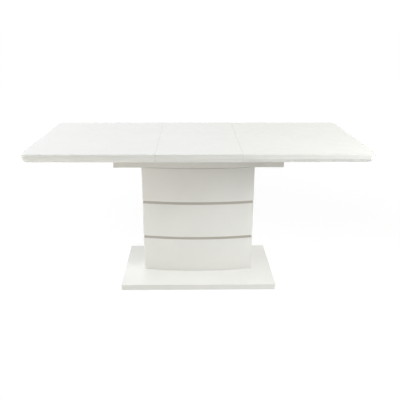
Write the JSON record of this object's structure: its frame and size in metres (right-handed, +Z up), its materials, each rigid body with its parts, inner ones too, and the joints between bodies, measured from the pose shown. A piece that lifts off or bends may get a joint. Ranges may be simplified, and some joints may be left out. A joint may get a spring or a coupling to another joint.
{
  "type": "extendable dining table",
  "caption": "Rectangular white pedestal dining table with a lift-out centre leaf, sliding half tops and a bowed column banded with steel strips.",
  "frame": {"origin": "on the floor under the centre of the open top", "axes": "+X along the table's length, +Y from the viewer's side to the back, +Z up"},
  "size_m": [1.6, 0.8, 0.75],
  "materials": {
    "white_lacquer": "board sprayed with high-gloss white lacquer",
    "raw_mdf": "unfinished fibreboard",
    "brushed_strip": "brushed along its length",
    "zinc_steel": "zinc plated",
    "slide_steel": "cold-rolled and zinc plated",
    "beech": "planed, unfinished",
    "felt": "pressed felt",
    "grey_plastic": "moulded"
  },
  "bodies": {
    "pedestal": {"base_plate": "white_lacquer", "neck_spacer": "white_lacquer", "neck_block": "white_lacquer", "frame_front_rail": "white_lacquer", "frame_back_rail": "white_lacquer", "frame_left_end": "white_lacquer", "frame_right_end": "white_lacquer", "frame_floor": "white_lacquer", "lower_front_shell": "white_lacquer", "lower_back_shell": "white_lacquer", "lower_left_cheek": "white_lacquer", "lower_right_cheek": "white_lacquer", "lower_formers": "raw_mdf", "middle_front_shell": "white_lacquer", "middle_back_shell": "white_lacquer", "middle_left_cheek": "white_lacquer", "middle_right_cheek": "white_lacquer", "middle_formers": "raw_mdf", "upper_front_shell": "white_lacquer", "upper_back_shell": "white_lacquer", "upper_left_cheek": "white_lacquer", "upper_right_cheek": "white_lacquer", "upper_formers": "raw_mdf", "lower_spacer": "raw_mdf", "lower_front_strip": "brushed_strip", "lower_back_strip": "brushed_strip", "upper_spacer": "raw_mdf", "upper_front_strip": "brushed_strip", "upper_back_strip": "brushed_strip", "tie_rods": "zinc_steel", "rod_washers": "zinc_steel", "rod_nuts": "zinc_steel", "clamp_plate": "zinc_steel", "frame_brackets": "zinc_steel", "bracket_screws": "zinc_steel", "fixed_rail_screws": "zinc_steel", "left_front_fixed_rail": "slide_steel", "left_back_fixed_rail": "slide_steel", "right_front_fixed_rail": "slide_steel", "right_back_fixed_rail": "slide_steel", "leaf_pads": "felt", "base_glides": "grey_plastic"},
    "left_half": {"left_panel": "white_lacquer", "left_front_batten": "beech", "left_back_batten": "beech", "left_brace": "beech", "left_front_moving_rail": "slide_steel", "left_back_moving_rail": "slide_steel", "left_rail_screws": "zinc_steel"},
    "right_half": {"right_panel": "white_lacquer", "right_front_batten": "beech", "right_back_batten": "beech", "right_brace": "beech", "right_front_moving_rail": "slide_steel", "right_back_moving_rail": "slide_steel", "right_rail_screws": "zinc_steel"},
    "leaf": {"leaf_panel": "white_lacquer", "leaf_pegs": "beech"},
    "left_cages": {"left_ball_cages": "slide_steel"},
    "right_cages": {"right_ball_cages": "slide_steel"}
  },
  "joints": [
    {"name": "left_slide", "type": "slide", "parent": "pedestal", "child": "left_half", "axis": [-1, 0, 0], "range_m": [0, 0.04]},
    {"name": "right_slide", "type": "slide", "parent": "pedestal", "child": "right_half", "axis": [1, 0, 0], "range_m": [0, 0.04]},
    {"name": "leaf_lift", "type": "slide", "parent": "pedestal", "child": "leaf", "axis": [0, 0, 1], "range_m": [0, 0.25]},
    {"name": "left_cage_roll", "type": "slide", "parent": "pedestal", "child": "left_cages", "axis": [-1, 0, 0], "range_m": [0, 0.02]},
    {"name": "right_cage_roll", "type": "slide", "parent": "pedestal", "child": "right_cages", "axis": [1, 0, 0], "range_m": [0, 0.02]}
  ],
  "couplings": [
    {"joint": "left_cage_roll", "follows": "left_slide", "ratio": 0.5},
    {"joint": "right_cage_roll", "follows": "right_slide", "ratio": 0.5}
  ]
}
